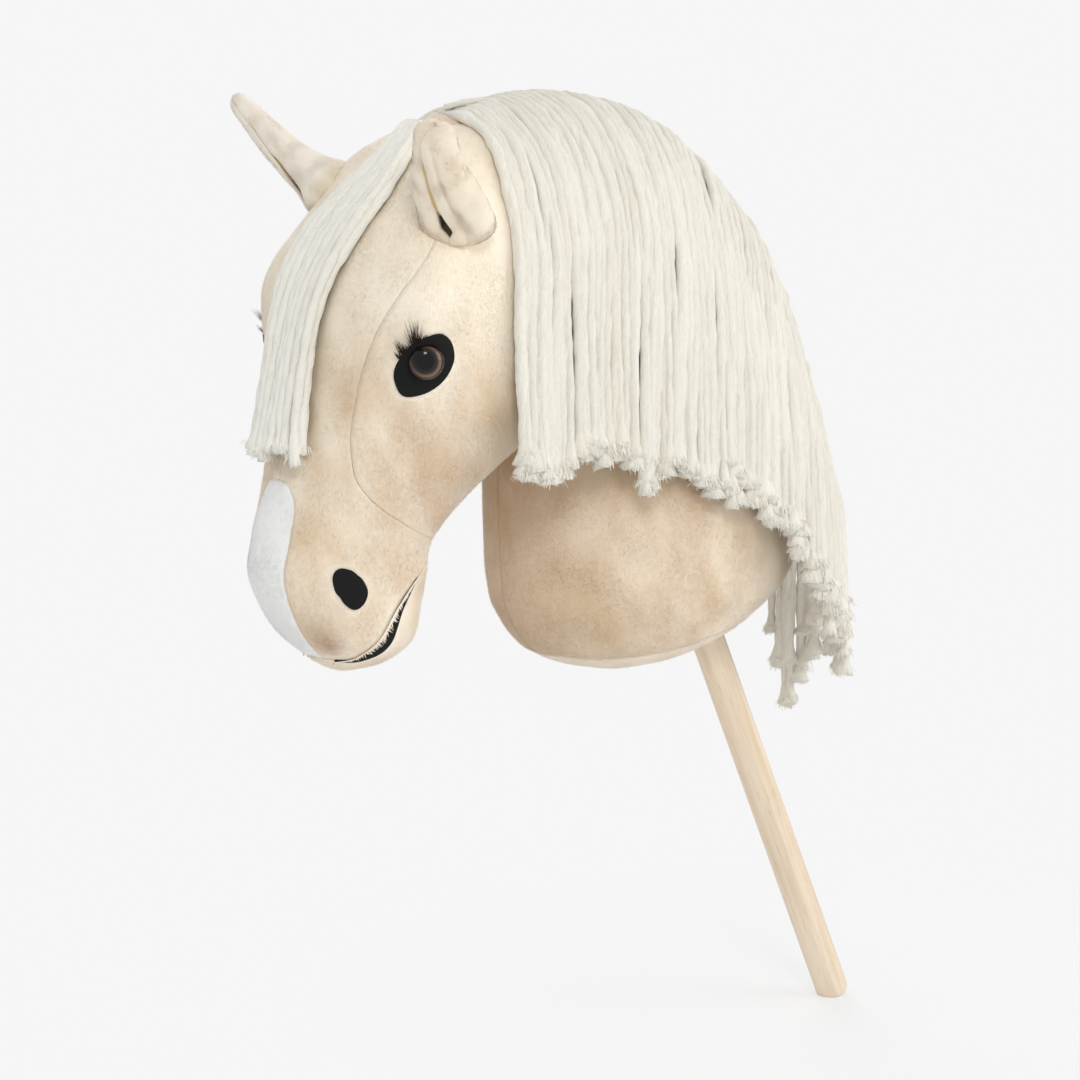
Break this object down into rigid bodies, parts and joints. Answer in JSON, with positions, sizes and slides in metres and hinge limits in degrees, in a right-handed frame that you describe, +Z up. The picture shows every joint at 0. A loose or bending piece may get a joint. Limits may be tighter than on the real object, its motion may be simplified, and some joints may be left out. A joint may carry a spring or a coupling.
{
  "type": "hobby horse",
  "caption": "Plush hobby horse: stuffed head and neck with cotton rope mane, let-in white blaze, domed eyes, on a round wooden stick",
  "frame": {"origin": "centre of the small flat on the rounded foot of the stick, which leans 23.3 degrees from upright as in the picture", "axes": "the horse faces -X; +Y is towards its right side, the shortest extent; +Z is up, from the stick's foot to the poll, the longest extent"},
  "size_m": [0.5218, 0.2819, 0.7052],
  "materials": {
    "stick": "sanded beech with a thin clear oil",
    "sleeve": "moulded, hidden in the neck",
    "stuffing": "polyester fibre filling",
    "cream_plush": "short soft pile",
    "pale_plush": "short soft pile",
    "ear_lining": "very short pile, golden beige",
    "white_plush": "short soft pile",
    "black_felt": "matt felt",
    "eye": "clear dome over a dark brown iris and black pupil",
    "washer": "moulded, hidden in the head",
    "cotton_rope": "soft twisted cotton with loose ends"
  },
  "bodies": {
    "stick": {"stick": "stick"},
    "horse": {"blaze_panel": "white_plush", "cheek_panel_left": "cream_plush", "cheek_panel_right": "cream_plush", "chin_panel": "cream_plush", "eye_left": "eye", "eye_patch_left": "black_felt", "eye_patch_right": "black_felt", "eye_right": "eye", "eye_washer_left": "washer", "eye_washer_right": "washer", "face_panel_left": "cream_plush", "face_panel_right": "cream_plush", "head_filling": "stuffing", "lashes_left": "black_felt", "lashes_right": "black_felt", "mane_left_1": "cotton_rope", "mane_left_2": "cotton_rope", "mane_left_3": "cotton_rope", "mane_left_4": "cotton_rope", "mane_left_5": "cotton_rope", "mane_left_6": "cotton_rope", "mane_right_1": "cotton_rope", "mane_right_2": "cotton_rope", "mane_right_3": "cotton_rope", "mane_right_4": "cotton_rope", "mane_right_5": "cotton_rope", "mane_right_6": "cotton_rope", "mouth_lining_left": "black_felt", "mouth_lining_right": "black_felt", "neck_base_panel": "pale_plush", "neck_filling": "stuffing", "neck_skin_left": "cream_plush", "neck_skin_right": "cream_plush", "nostril_left": "black_felt", "nostril_right": "black_felt", "sleeve_end_cap": "sleeve", "stick_sleeve": "sleeve"},
    "ear_left": {"ear_shell_left": "cream_plush", "ear_lining_left": "ear_lining"},
    "ear_right": {"ear_shell_right": "cream_plush", "ear_lining_right": "ear_lining"},
    "forelock": {"forelock": "cotton_rope"}
  },
  "joints": [
    {"name": "head_lift", "type": "slide", "parent": "stick", "child": "horse", "axis": [-0.3955, 0, 0.9184], "range_m": [0, 0.2]},
    {"name": "ear_left_fold", "type": "hinge", "parent": "horse", "child": "ear_left", "pos_m": [-0.40957, -0.09036, 0.60982], "axis": [1, 0, 0], "range_deg": [-12, 12], "stiffness_Nm_per_rad": 0.2},
    {"name": "ear_right_fold", "type": "hinge", "parent": "horse", "child": "ear_right", "pos_m": [-0.40957, 0.09036, 0.60982], "axis": [1, 0, 0], "range_deg": [-12, 12], "stiffness_Nm_per_rad": 0.2},
    {"name": "forelock_swing", "type": "hinge", "parent": "horse", "child": "forelock", "pos_m": [-0.392, 0, 0.676], "axis": [0, 1, 0], "range_deg": [0, 30]}
  ]
}
